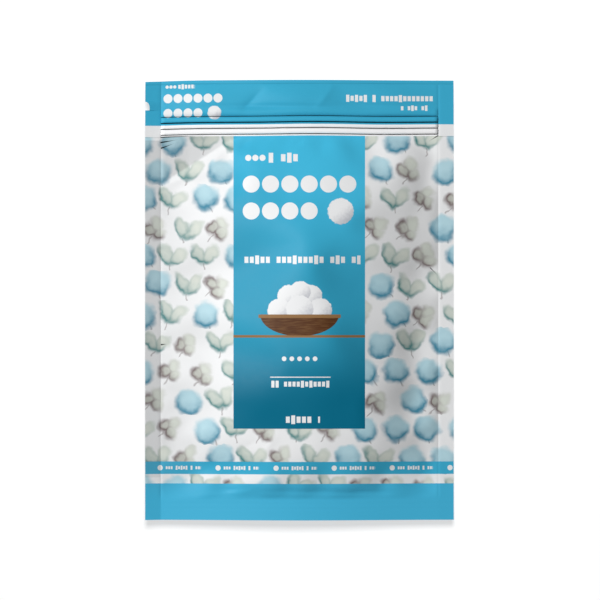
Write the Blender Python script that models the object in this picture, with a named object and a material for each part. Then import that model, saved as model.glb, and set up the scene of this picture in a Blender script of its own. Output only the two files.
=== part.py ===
"""A sealed flat pouch of cotton balls with a press-to-close zip, lying on its back.

It is modelled in metres at its real size. +Z points up, out of the printed front. +Y runs up the
front, from the foot seal to the header. The origin is on the table, under the middle of the pouch.
Two films are sealed along all four edges. The contents fill them out between the foot seal and the
zip, and the back film lies flat where it rests on the table.
"""

import math

import bmesh
import bpy
from mathutils import Vector

# Outline of the pouch and its seals
POUCH_WIDTH = 0.200
POUCH_HEIGHT = 0.285
SIDE_SEAL = 0.010
FOOT_SEAL = 0.014
TOP_SEAL = 0.0022
SEALED_FILM = 0.0005  # both films together, where they are sealed

# How far the contents push the films out of the plane of the seals
FRONT_RISE = 0.0196
BACK_DEPTH = 0.0130
FOOT_LEAN = 0.02  # share by which the pouch is fuller at its foot than in its middle
FILL_SKEW = 0.06  # share of the half width by which the pouch is fullest right of its middle
SIDE_CURVE = (1.7, 1.1)  # powers of the front's bell curve from side to side
END_CURVE = (4.0, 1.15)  # powers of its bell curve from the foot to the zip
BACK_CURVE = (4.0, 1.0)
BACK_FLATNESS = 1.30  # above 1, the back reaches the table before its middle

# How the seals leave their plane: the middle arches up, the foot lifts, the header hangs, the sides curl
ARCH = 0.0060
FOOT_ARCH = 0.0030  # how much more the foot arches than the middle
FOOT_ARCH_START = 0.5  # share of the way to the foot seal at which it begins to arch more
FOOT_LIFT = 0.0006
HEADER_DROOP = 0.0020
DROOP_CURVE = 1.5  # power of the foot's and the header's curve
SIDE_CURL = 0.0009
SEAL_WAVE = 0.0004  # slight waves along the free edges
SEAL_WAVE_LENGTH = 0.083
SEAL_WAVE_SLANT = 0.35  # run of a wave's crest for each metre along the edge

# Press-to-close zip: ribs side by side, with a sharp crease on each side of every rib
ZIP_FROM_TOP = 0.0234  # top edge to the zip's first crease
ZIP_RIBS = 3
ZIP_RIB_WIDTH = 0.0039
ZIP_RIB_FRONT = 0.0014
ZIP_RIB_BACK = 0.0008
RIB_STATIONS = (0.14, 0.5, 0.86)  # shares of a rib's width

# Slack film in the header, between the zip and the top seal
HEADER_PUFF = 0.0016
HEADER_PUFF_ROUNDNESS = 6.0
HEADER_WAVE = 0.0007
HEADER_WAVE_LENGTH = 0.062
HEADER_WAVE_SLANT = 0.6

# Tear notch in the left edge
NOTCH_FROM_TOP = 0.0160
NOTCH_RADIUS = 0.0028

# Puckers that run in from the seals, and the soft lumps of the contents
PUCKER_DEPTH = 0.0010
PUCKER_REACH = 0.0065  # from the seal to where a pucker is deepest
PUCKER_WAVES = ((0.0175, 0.55, 1.9), (0.0295, 0.45, 4.4))  # length, share, turn on the right side
PUCKER_END_ROUNDNESS = 6.0
LUMP_HEIGHT = 0.0011
LUMP_WAVES = ((0.049, 17), (0.038, 71), (0.056, 118), (0.043, 160))  # length, heading in degrees
LUMP_SPREAD = 1.5  # how fast the lumps reach their full height, going in from the seals

# Fields of colour on the film, as distances along its edges
HEADER_PRINT = 0.0287  # top edge to the lower border of the header's colour
ZIP_BAND_PRINT = 0.0075  # white band under the header's colour
LABEL_WIDTH = 0.0850
LABEL_HEIGHT = 0.1890
STRIP_FROM_FOOT = 0.0297
STRIP_HEIGHT = 0.0081
FOOT_PRINT = 0.0229

# Spacing of the mesh
COLUMN_PITCH = 0.0085
ROW_PITCH = 0.0045
EDGE_STEPS = (0.0030, 0.0065, 0.0115, 0.0190)  # columns beside the side seals
LEAST_STEP = 0.0004
NOTCH_SIDES = 32
CREASE_ANGLE = 40.0  # degrees, above which an edge is drawn sharp

# Heights that follow from the sizes above
HALF_WIDTH = POUCH_WIDTH / 2
HALF_HEIGHT = POUCH_HEIGHT / 2
FILL_HALF_WIDTH = HALF_WIDTH - SIDE_SEAL
FILL_FOOT = FOOT_SEAL - HALF_HEIGHT
ZIP_TOP = HALF_HEIGHT - ZIP_FROM_TOP
ZIP_FOOT = ZIP_TOP - ZIP_RIBS * ZIP_RIB_WIDTH
TOP_SEAL_EDGE = HALF_HEIGHT - TOP_SEAL
HEADER_PRINT_EDGE = HALF_HEIGHT - HEADER_PRINT
ZIP_BAND_EDGE = HEADER_PRINT_EDGE - ZIP_BAND_PRINT
LABEL_FOOT = ZIP_BAND_EDGE - LABEL_HEIGHT
STRIP_FOOT = STRIP_FROM_FOOT - HALF_HEIGHT
STRIP_TOP = STRIP_FOOT + STRIP_HEIGHT
FOOT_PRINT_EDGE = FOOT_PRINT - HALF_HEIGHT

# Film colours: name, colour, roughness
TEAL_FILM = ("teal_film", (0.065, 0.420, 0.600), 0.34)
WHITE_FILM = ("white_film", (0.800, 0.810, 0.810), 0.34)
LABEL_FILM = ("label_film", (0.035, 0.330, 0.500), 0.34)


def clear_scene():
    """Remove every object, so that only the pouch is left."""
    for thing in list(bpy.data.objects):
        bpy.data.objects.remove(thing)


def film_material(name, colour, roughness):
    """A printed film with a satin surface."""
    material = bpy.data.materials.new(name)
    material.use_nodes = True
    shader = material.node_tree.nodes["Principled BSDF"]
    shader.inputs["Base Color"].default_value = (*colour, 1.0)
    shader.inputs["Roughness"].default_value = roughness
    shader.inputs["Metallic"].default_value = 0.0
    return material


def stations(marks, pitch):
    """The marks in order, with the gaps between them filled evenly in steps up to the pitch."""
    kept = []
    for mark in sorted(marks):
        if not kept or mark - kept[-1] > LEAST_STEP:
            kept.append(mark)
    filled = kept[:1]
    for start, end in zip(kept, kept[1:]):
        steps = math.ceil((end - start) / pitch)
        filled += [start + (end - start) * step / steps for step in range(1, steps + 1)]
    return filled


def column_stations():
    """Where the mesh has its columns, from the left edge to the right edge."""
    half = [LABEL_WIDTH / 2, FILL_HALF_WIDTH, HALF_WIDTH]
    half += [FILL_HALF_WIDTH - step for step in EDGE_STEPS]
    return stations([0.0] + half + [-mark for mark in half], COLUMN_PITCH)


def row_stations():
    """Where the mesh has its rows, from the foot to the top edge."""
    marks = [-HALF_HEIGHT, FILL_FOOT, FOOT_PRINT_EDGE, STRIP_FOOT, STRIP_TOP, LABEL_FOOT]
    marks += [HEADER_PRINT_EDGE, TOP_SEAL_EDGE, HALF_HEIGHT, ZIP_FOOT]
    for rib in range(ZIP_RIBS):
        crease = ZIP_FOOT + rib * ZIP_RIB_WIDTH
        marks += [crease + share * ZIP_RIB_WIDTH for share in RIB_STATIONS]
        marks.append(crease + ZIP_RIB_WIDTH)
    return stations(marks, ROW_PITCH)


def share_between(value, start, end):
    """How far the value lies from start to end, kept between 0 and 1."""
    return min(1.0, max(0.0, (value - start) / (end - start)))


def fill_place(x, y):
    """The point's place in the filled part: -1 to 1 from side to side, and from foot to zip."""
    middle = (FILL_FOOT + ZIP_FOOT) / 2
    return x / FILL_HALF_WIDTH, (y - middle) / (ZIP_FOOT - middle)


def is_filled(x, y):
    """Whether the contents hold the films apart at this point."""
    across, along = fill_place(x, y)
    return abs(across) < 1 and abs(along) < 1


def bell(place, powers):
    """A bell curve: 1 at the middle, and 0 at a place of -1 or 1."""
    spread, shoulder = powers
    return (1 - abs(place) ** spread) ** shoulder


def front_fill(x, y):
    """The front film's rise as a share of its rise in the middle."""
    across, along = fill_place(x, y)
    across -= FILL_SKEW * (1 - across ** 2)
    return bell(across, SIDE_CURVE) * bell(along, END_CURVE) * (1 - FOOT_LEAN * along)


def back_fill(x, y):
    """The back film's drop as a share of its depth. It is exactly 1 where the film lies flat."""
    across, along = fill_place(x, y)
    drop = bell(across, BACK_CURVE) * bell(along, BACK_CURVE)
    return 1 - max(0.0, 1 - BACK_FLATNESS * drop) ** 2


def seal_height(x, y):
    """Height of the middle of the sealed films: arched across, most of all at the foot."""
    side = share_between(abs(x), FILL_HALF_WIDTH, HALF_WIDTH)
    foot = share_between(-y, -FILL_FOOT, HALF_HEIGHT)
    header = share_between(y, ZIP_FOOT, HALF_HEIGHT)
    near_foot = share_between(-y, -FILL_FOOT * FOOT_ARCH_START, -FILL_FOOT)
    arch = ARCH + FOOT_ARCH * near_foot ** 2
    height = BACK_DEPTH + SIDE_CURL * side + arch * (1 + math.cos(math.pi * x / HALF_WIDTH)) / 2
    height += FOOT_LIFT * foot ** DROOP_CURVE - HEADER_DROOP * header ** DROOP_CURVE
    turns = 2 * math.pi / SEAL_WAVE_LENGTH
    wave = math.sin(turns * (y + SEAL_WAVE_SLANT * x)) * side
    wave += math.sin(turns * (x + SEAL_WAVE_SLANT * y)) * (foot + header)
    return height + SEAL_WAVE * wave


def rib_height(y):
    """The zip's cross-section: round ribs with a sharp crease between them, from 0 to 1."""
    place = (y - ZIP_FOOT) / ZIP_RIB_WIDTH
    if not 0 < place < ZIP_RIBS:
        return 0.0
    across_rib = 2 * (place % 1.0) - 1
    return math.sqrt(max(0.0, 1 - across_rib ** 2))


def zip_reach(x):
    """The zip runs between the side seals, and its ends are pressed flat into them."""
    return share_between(FILL_HALF_WIDTH - abs(x), 0.0, EDGE_STEPS[0])


def header_puff(x, y):
    """Slack film between the zip and the top seal, thrown into a few slow waves."""
    if not ZIP_TOP < y < TOP_SEAL_EDGE:
        return 0.0
    along = math.sin(math.pi * share_between(y, ZIP_TOP, TOP_SEAL_EDGE))
    across = max(0.0, 1 - abs(x / FILL_HALF_WIDTH) ** HEADER_PUFF_ROUNDNESS)
    crest = x + HEADER_WAVE_SLANT * y
    wave = HEADER_WAVE * math.sin(2 * math.pi * crest / HEADER_WAVE_LENGTH)
    return (HEADER_PUFF + wave) * along * across


def pucker(x, y):
    """Small folds that run in from the side seals and die out over the filled part."""
    _, along = fill_place(x, y)
    inside = (FILL_HALF_WIDTH - abs(x)) / PUCKER_REACH
    folds = 0.0
    for length, share, right_turn in PUCKER_WAVES:
        turn = right_turn if x > 0 else 0.0
        folds += share * math.sin(2 * math.pi * y / length + turn)
    fade = 1 - abs(along) ** PUCKER_END_ROUNDNESS
    return PUCKER_DEPTH * inside * math.exp(1 - inside) * folds * fade


def lumps(x, y):
    """The balls inside show softly through the film."""
    total = 0.0
    for length, heading in LUMP_WAVES:
        turn = math.radians(heading)
        total += math.sin(2 * math.pi * (x * math.cos(turn) + y * math.sin(turn)) / length)
    fade = min(1.0, LUMP_SPREAD * front_fill(x, y))
    return LUMP_HEIGHT * fade * total / len(LUMP_WAVES)


def front_height(x, y):
    """Height of the front film."""
    height = seal_height(x, y) + SEALED_FILM / 2
    height += ZIP_RIB_FRONT * rib_height(y) * zip_reach(x) + header_puff(x, y)
    if is_filled(x, y):
        height += FRONT_RISE * front_fill(x, y) + lumps(x, y)
        height += pucker(x, y) * math.sqrt(front_fill(x, y))
    return height


def back_height(x, y):
    """Height of the back film."""
    height = seal_height(x, y) - SEALED_FILM / 2
    height -= ZIP_RIB_BACK * rib_height(y) * zip_reach(x) + header_puff(x, y) / 2
    if is_filled(x, y):
        height *= 1 - back_fill(x, y)
    return height


def print_slot(face):
    """Material slot of the colour field that the face lies in: 0 teal, 1 white, 2 label."""
    x, y, _ = face.calc_center_median()
    on_label = LABEL_FOOT < y < ZIP_BAND_EDGE and abs(x) < LABEL_WIDTH / 2
    if y > HEADER_PRINT_EDGE or y < FOOT_PRINT_EDGE or STRIP_FOOT < y < STRIP_TOP:
        return 0
    return 2 if on_label and face.normal.z > 0 else 1


def pouch_mesh():
    """One closed mesh: a sheet extruded into the front film, the back film and the cut edge."""
    columns, rows = column_stations(), row_stations()
    steps_across, steps_along = len(columns) - 1, len(rows) - 1
    body = bmesh.new()
    bmesh.ops.create_grid(body, x_segments=steps_across, y_segments=steps_along, size=0.5)
    back = list(body.verts)
    for point in back:
        column = round((point.co.x + 0.5) * steps_across)
        row = round((point.co.y + 0.5) * steps_along)
        point.co.xy = columns[column], rows[row]
    extruded = bmesh.ops.extrude_face_region(body, geom=list(body.faces))["geom"]
    front = [part for part in extruded if isinstance(part, bmesh.types.BMVert)]
    for point in front:
        point.co.z = front_height(point.co.x, point.co.y)
    for point in back:
        point.co.z = back_height(point.co.x, point.co.y)
    bmesh.ops.recalc_face_normals(body, faces=body.faces)
    for face in body.faces:
        face.smooth = True
        face.material_index = print_slot(face)
    mesh = bpy.data.meshes.new("pouch")
    body.to_mesh(mesh)
    body.free()
    mesh.set_sharp_from_angle(angle=math.radians(CREASE_ANGLE))
    return mesh


def notch_cutter():
    """An upright round bar through the left edge, which cuts the tear notch."""
    cut = bmesh.new()
    bmesh.ops.create_cone(
        cut,
        cap_ends=True,
        segments=NOTCH_SIDES,
        radius1=NOTCH_RADIUS,
        radius2=NOTCH_RADIUS,
        depth=2 * (FRONT_RISE + BACK_DEPTH + ARCH),
    )
    mesh = bpy.data.meshes.new("notch_cutter")
    cut.to_mesh(mesh)
    cut.free()
    cutter = bpy.data.objects.new("notch_cutter", mesh)
    cutter.location = Vector((-HALF_WIDTH, HALF_HEIGHT - NOTCH_FROM_TOP, 0.0))
    cutter.hide_render = True
    cutter.display_type = "WIRE"
    bpy.context.collection.objects.link(cutter)
    return cutter


def build_pouch():
    """The sealed pouch as one object, with its tear notch cut."""
    mesh = pouch_mesh()
    for film in (TEAL_FILM, WHITE_FILM, LABEL_FILM):
        mesh.materials.append(film_material(*film))
    pouch = bpy.data.objects.new("pouch", mesh)
    bpy.context.collection.objects.link(pouch)
    notch = pouch.modifiers.new("tear_notch", "BOOLEAN")
    notch.operation = "DIFFERENCE"
    notch.solver = "EXACT"
    notch.object = notch_cutter()
    return pouch


clear_scene()
build_pouch()
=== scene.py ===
"""A sealed, printed film pouch of cotton balls with a press-to-close zip, lying on its back.

It is laid out as a Blender 4.5 add-on and run as a script. Lengths are in metres. +Z points out of
the printed front and +Y runs up the front, from the foot seal to the header. The print is drawn in
millimetres, measured on the flat film from the middle of the pouch.
"""

import math

import bpy
import numpy as np
from bpy.props import FloatProperty, FloatVectorProperty, IntProperty, PointerProperty
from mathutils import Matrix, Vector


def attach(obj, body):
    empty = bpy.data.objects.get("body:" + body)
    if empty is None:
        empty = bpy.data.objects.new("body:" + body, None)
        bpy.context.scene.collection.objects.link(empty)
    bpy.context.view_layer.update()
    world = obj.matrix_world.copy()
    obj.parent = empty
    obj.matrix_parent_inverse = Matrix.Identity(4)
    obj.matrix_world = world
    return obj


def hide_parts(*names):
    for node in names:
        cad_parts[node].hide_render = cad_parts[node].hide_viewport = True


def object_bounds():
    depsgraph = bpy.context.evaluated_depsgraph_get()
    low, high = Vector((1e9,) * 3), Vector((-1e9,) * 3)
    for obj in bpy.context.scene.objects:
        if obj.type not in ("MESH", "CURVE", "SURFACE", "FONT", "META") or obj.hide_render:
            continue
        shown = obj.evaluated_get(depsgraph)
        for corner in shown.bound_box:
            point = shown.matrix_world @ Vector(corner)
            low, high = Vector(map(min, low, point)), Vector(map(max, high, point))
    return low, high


bl_info = {
    "name": "Zip Pouch of Cotton Balls",
    "version": (1, 0, 0),
    "blender": (4, 5, 0),
    "location": "3D View > Sidebar > Pouch",
    "description": "Models a sealed film pouch with a press-to-close zip, and a studio for it",
    "category": "Add Mesh",
}

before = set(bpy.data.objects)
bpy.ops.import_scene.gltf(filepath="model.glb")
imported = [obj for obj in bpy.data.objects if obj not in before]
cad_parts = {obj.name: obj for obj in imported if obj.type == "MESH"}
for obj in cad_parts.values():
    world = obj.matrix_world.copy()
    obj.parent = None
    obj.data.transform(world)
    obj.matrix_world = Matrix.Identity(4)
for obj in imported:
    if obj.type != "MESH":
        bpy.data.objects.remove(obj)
CAD_LOW, CAD_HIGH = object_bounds()
NODE = "pouch"
MM = 0.001

# Curves of the filled pouch: the powers of a bell curve, from side to side and from end to end
SIDE_CURVE = (2.4, 1.3)
END_CURVE = (2.8, 1.2)
BACK_CURVE = (4.0, 1.0)
BACK_FLATNESS = 1.30
FOOT_LEAN = 0.04
FILL_SKEW = 0.30
DROOP_CURVE = 1.5
HEADER_ROUNDNESS = 6.0

# Soft lumps of the balls inside: wave length and heading in degrees
LUMP_WAVES = ((0.049, 17), (0.038, 71), (0.056, 118), (0.043, 160))
LUMP_SPREAD = 1.5

# Where a rib of the zip has its rows, as shares of its width
RIB_STATIONS = (0.03, 0.09, 0.2, 0.35, 0.5, 0.65, 0.8, 0.91, 0.97, 1.0)

# The zip's creases, and how far a rib takes to rise beside a seal
CREASE_WIDTH = 0.25 * MM
CREASE_DEPTH = 0.5 * MM
RIB_END = 0.9 * MM

# The slack film of the header: how uneven it is, and its wave's length and slant
HEADER_UNEVENNESS = 0.45
HEADER_WAVE = 0.062
HEADER_SLANT = 0.6

# The zip's sag: its reach up and down, where it starts on the left, its drop at the left end, and
# the height, length and start of its wave
SAG_REACH = 0.016
SAG_START = 0.030
SAG_DROP = 0.9 * MM
SAG_WAVE = (0.18 * MM, 0.085, 0.8)

# The tear notch: where its round top starts, as a share of its height, and the rows' turns there
NOTCH_ROUND = 0.35
NOTCH_TURNS = (0.3, 0.6, 0.9, 1.2, 1.4)

# Unevenness that the simulation starts from
RIPPLE = 0.15 * MM
RIPPLE_SEED = 4

# Thinnest place between the front and the back film, and the angle of an edge that looks sharp
FILM_GAP = 0.3 * MM
SHARP_ANGLE = math.radians(50)

# Sharp folds in the front film, in millimetres: start, end, height (a valley's is negative), width
FOLDS = (
    ((-91.0, 102.6), (-79.0, 104.4), -0.9, 0.9),
    ((-90.5, 98.6), (-80.0, 102.4), -0.8, 0.9),
    ((-90.0, 100.4), (-77.0, 103.4), 0.5, 0.8),
    ((-90.0, -29.5), (-81.0, -29.0), -0.7, 1.2),
    ((-90.0, -36.0), (-80.0, -31.0), 0.4, 1.6),
    ((83.5, 22.5), (89.8, 15.5), -0.7, 1.2),
    ((84.5, -44.0), (89.8, -39.5), -0.6, 1.1),
    ((84.0, -102.0), (90.0, -96.5), 0.6, 1.6),
    ((-25.0, -102.0), (-13.5, -84.5), 0.7, 3.0),
    ((-40.0, -98.0), (-24.0, -88.0), -0.5, 3.0),
    ((-39.5, 96.5), (-31.5, 105.0), -0.6, 2.0),
    ((-4.0, 97.5), (3.0, 105.0), -0.5, 2.0),
    ((-38.0, 122.0), (-22.0, 138.5), -1.2, 3.0),
    ((-64.0, 126.0), (30.0, 125.2), -1.1, 1.5),
    ((10.0, 123.0), (23.0, 140.0), 0.9, 4.5),
    ((22.0, 126.8), (80.0, 125.8), -0.9, 1.7),
    ((-70.0, -127.6), (-28.0, -122.6), 0.5, 1.4),
    ((-54.0, -124.0), (-31.0, -121.6), -0.8, 1.0),
    ((-30.0, -123.2), (66.0, -124.6), -1.1, 1.2),
)

# Soft dips and swells of the front film, in the same order
SWELLS = (
    ((86.0, 50.0), (70.0, -125.0), -6.0, 12.0),
    ((94.0, 106.0), (74.0, 44.0), -3.0, 8.0),
    ((-78.0, 50.0), (-76.0, -98.0), 2.2, 14.0),
)

# The top left corner lies flat beyond a sharp fold: the fold's ends, the corner's lift at its left
# and its lowest place, in millimetres, then how steeply it falls and how steeply the film rises
CORNER_FOLD = ((-88.5, 75.5), (-43.8, 103.8))
CORNER_LIFT = 0.3
CORNER_LOW = -1.2
CORNER_FALL = 0.09
CORNER_RISE = 0.55


def srgb(red, green, blue):
    """A colour given as on a screen, from 0 to 255, as linear light with an alpha of 1."""
    shares = [level / 255 for level in (red, green, blue)]
    return (*[s / 12.92 if s <= 0.04045 else ((s + 0.055) / 1.055) ** 2.4 for s in shares], 1.0)


def a_length(name, description, default):
    """A length that a user may change."""
    return FloatProperty(name=name, description=description, default=default, unit="LENGTH")


def a_number(name, description, default):
    """A plain number that a user may change."""
    return FloatProperty(name=name, description=description, default=default)


def a_count(name, description, default):
    """A whole number that a user may change."""
    return IntProperty(name=name, description=description, default=default, min=1)


def a_colour(name, description, default):
    """A colour that a user may change."""
    limits = {"subtype": "COLOR", "size": 4, "min": 0, "max": 1}
    return FloatVectorProperty(name=name, description=description, default=default, **limits)


class PouchSizes(bpy.types.PropertyGroup):
    """Sizes of the pouch and of its seals, zip and folds."""

    width: a_length("Width", "Across the pouch", CAD_HIGH.x - CAD_LOW.x)
    height: a_length("Height", "From the foot to the top edge", CAD_HIGH.y - CAD_LOW.y)
    side_seal: a_length("Side seal", "Width of a side seal", 0.010)
    foot_seal: a_length("Foot seal", "Depth of the foot seal", 0.014)
    top_seal: a_length("Top seal", "Depth of the top seal", 0.0022)
    sealed_film: a_length("Sealed film", "Thickness of both films together", 0.0005)
    front_rise: a_length("Front rise", "Rise of the front before it is slackened", 0.0162)
    back_depth: a_length("Back depth", "Height of the seals over the table", 0.0130)
    arch: a_length("Arch", "Rise of the middle of the seals' plane", 0.0052)
    foot_arch: a_length("Foot arch", "Further rise of the middle of the foot", 0.0002)
    foot_droop: a_length("Foot droop", "How far the foot's edge hangs", -0.0006)
    header_droop: a_length("Header droop", "How far the top edge hangs", 0.0020)
    left_curl: a_length("Left curl", "How far the left edge curls up", 0.0024)
    right_curl: a_length("Right curl", "How far the right edge curls up", -0.0003)
    zip_from_top: a_length("Zip from top", "Top edge to the zip's first crease", 0.0234)
    zip_rib: a_length("Zip rib", "Width of one rib of the zip", 0.0039)
    zip_height: a_length("Zip height", "Rise of a rib over its creases", 0.0015)
    zip_ribs: a_count("Zip ribs", "Ribs of the zip", 3)
    guard_rib: a_length("Guard rib", "Width of the low rib above the zip", 0.0052)
    guard_rise: a_length("Guard rise", "Height of the low rib above the zip", 0.0008)
    header_puff: a_length("Header puff", "Rise of the slack film in the header", 0.0016)
    notch_from_top: a_length("Notch from top", "Top edge to the notch's middle", 0.0160)
    notch_height: a_length("Notch height", "Height of the tear notch", 0.0056)
    notch_depth: a_length("Notch depth", "Depth of the tear notch", 0.0028)
    lump: a_length("Lump", "Height of the lumps of the contents", 0.0011)
    seal_crease: a_length("Seal crease", "Depth of the crease along a seal", 0.0002)
    corner_sag: a_length("Corner sag", "How far the top left corner hangs", 0.0011)
    view_height: a_length("View height", "Height from which the print looks straight", 1.6)
    pitch: a_length("Mesh pitch", "Largest step of the film's mesh", 0.00135)


class PouchCloth(bpy.types.PropertyGroup):
    """How the film is simulated between its seals."""

    pitch: a_length("Mesh pitch", "Step of the simulated mesh", 0.0024)
    slack: a_number("Slack", "Spare length of the film", 0.016)
    hold: a_number("Hold", "Pull of the contents", 0.03)
    bending: a_number("Bending", "Bending stiffness", 70.0)
    tension: a_number("Tension", "Stretching stiffness", 60.0)
    pressure: a_number("Pressure", "Air pressure", 0.12)
    frames: a_count("Frames", "Steps of the simulation", 28)
    smoothing: a_count("Smoothing", "Smoothing passes", 3)


class PouchPrint(bpy.types.PropertyGroup):
    """Colours of the printed film."""

    white: a_colour("White", "Film without print", srgb(240, 241, 242))
    zip_white: a_colour("Zip white", "Ribs of the zip", srgb(253, 253, 254))
    teal: a_colour("Teal", "Header and strip", srgb(62, 174, 210))
    # The foot's teal is a lighter copy of the header's teal: painted light
    foot_teal: a_colour("Foot teal", "Foot", srgb(70, 180, 218))
    label_top: a_colour("Label top", "Label near the zip", srgb(70, 190, 228))
    label_foot: a_colour("Label foot", "Label near the foot", srgb(8, 110, 140))
    aqua: a_colour("Aqua", "Shade of the puffs", srgb(72, 140, 166))
    light_aqua: a_colour("Light aqua", "Light side of the puffs", srgb(192, 226, 236))
    sage: a_colour("Sage", "Leaves", srgb(74, 134, 134))
    cream: a_colour("Cream", "Light side of leaves and buds", srgb(220, 225, 216))
    taupe: a_colour("Taupe", "Buds and stems", srgb(98, 74, 74))
    brown: a_colour("Brown", "Bowl on the label", srgb(86, 52, 30))
    tan: a_colour("Tan", "Table line on the label", srgb(150, 112, 72))
    puff_shade: a_colour("Puff shade", "Shaded side of white puffs", srgb(196, 198, 204))
    # Seal grey gives both seals a slight grey of their own, and is also the painted shade on the
    # left seal, the top left corner and the left flank
    seal_grey: a_colour("Seal grey", "Shows through the pressed seals", srgb(96, 98, 100))


class PouchStudio(bpy.types.PropertyGroup):
    """Camera and lights."""

    lens: a_number("Lens", "Focal length in millimetres", 148.0)
    aside: a_length("Aside", "Camera to the right of the pouch's middle", 0.00027)
    key: a_number("Key light", "Power of the key light", 45.0)
    floor_lamp: a_number("Floor lamp", "Power of its lamp", 50.0)
    world: a_number("World", "Strength of the room's light", 0.07)
    floor: a_number("Floor", "Share of plain white floor", 0.66)


# The form of the pouch


def share(values, start, end):
    """How far the values lie from start to end, kept between 0 and 1."""
    return np.clip((values - start) / (end - start), 0, 1)


def bell(place, powers):
    """A bell curve: 1 at the middle, and 0 at a place of -1 or 1 and beyond."""
    return np.clip(1 - np.abs(place) ** powers[0], 0, None) ** powers[1]


class PouchForm:
    """Heights of the two films over the flat pouch, without the folds."""

    def __init__(self, sizes):
        self.sizes = sizes
        self.half_width = sizes.width / 2
        self.half_height = sizes.height / 2
        self.fill_side = self.half_width - sizes.side_seal
        self.fill_foot = sizes.foot_seal - self.half_height
        self.zip_top = self.half_height - sizes.zip_from_top
        self.zip_foot = self.zip_top - sizes.zip_ribs * sizes.zip_rib
        self.top_crease = self.half_height - sizes.top_seal
        self.notch_foot = self.half_height - sizes.notch_from_top - sizes.notch_height / 2

    def fill_place(self, x, y):
        """Place in the filled part, -1 to 1 across and -1 to 1 from the foot to the zip."""
        middle = (self.fill_foot + self.zip_foot) / 2
        return x / self.fill_side, (y - middle) / (self.zip_foot - middle)

    def seals(self, x, y):
        """Height of the middle of the sealed films."""
        sizes = self.sizes
        left = share(-x, self.fill_side, self.half_width)
        right = share(x, self.fill_side, self.half_width)
        foot = share(-y, -self.fill_foot, self.half_height)
        header = share(y, self.zip_foot, self.half_height)
        near_foot = share(-y, -0.5 * self.fill_foot, -self.fill_foot)
        arch = sizes.arch + sizes.foot_arch * near_foot**2
        arch = arch * (1 + np.cos(math.pi * x / self.half_width)) / 2
        droop = sizes.foot_droop * foot**DROOP_CURVE + sizes.header_droop * header**DROOP_CURVE
        curl = sizes.left_curl * left + sizes.right_curl * right
        return sizes.back_depth + arch + curl - droop

    def lumps(self, x, y, fill):
        """The balls inside show softly through the film."""
        total = 0
        for length, heading in LUMP_WAVES:
            turn = math.radians(heading)
            ahead = x * math.cos(turn) + y * math.sin(turn)
            total = total + np.sin(2 * math.pi * ahead / length)
        return self.sizes.lump * np.minimum(1, LUMP_SPREAD * fill) * total / len(LUMP_WAVES)

    def front(self, x, y):
        """Height of the front film."""
        across, along = self.fill_place(x, y)
        across = across - FILL_SKEW * (1 - across**2)
        fill = bell(across, SIDE_CURVE) * bell(along, END_CURVE) * (1 - FOOT_LEAN * along)
        height = self.seals(x, y) + self.sizes.sealed_film / 2
        return height + self.sizes.front_rise * fill + self.lumps(x, y, fill)

    def back(self, x, y):
        """Height of the back film, which lies on the table in its middle."""
        across, along = self.fill_place(x, y)
        drop = BACK_FLATNESS * bell(across, BACK_CURVE) * bell(along, BACK_CURVE)
        hang = np.clip(1 - drop, 0, None) ** 2
        return (self.seals(x, y) - self.sizes.sealed_film / 2) * hang


# Cloth simulation of the slack film


def new_grid(name, columns, rows):
    """A flat grid from Blender's own primitive, with one point for each column and row."""
    bpy.ops.object.select_all(action="DESELECT")
    bpy.ops.mesh.primitive_grid_add(
        x_subdivisions=len(columns) - 1, y_subdivisions=len(rows) - 1, size=1
    )
    grid = bpy.context.object
    grid.name = grid.data.name = name
    return grid


def set_points(mesh, points):
    """Move the mesh's points."""
    mesh.vertices.foreach_set("co", np.asarray(points, np.float32).ravel())
    mesh.update()


def smoothed(field, passes):
    """The field with its finest ripple taken out. Its border stays."""
    for _ in range(passes):
        for axis in (0, 1):
            turned = np.moveaxis(field, axis, 0)
            inner = (turned[:-2] + 2 * turned[1:-1] + turned[2:]) / 4
            turned[1:-1] = inner
    return field


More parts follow.
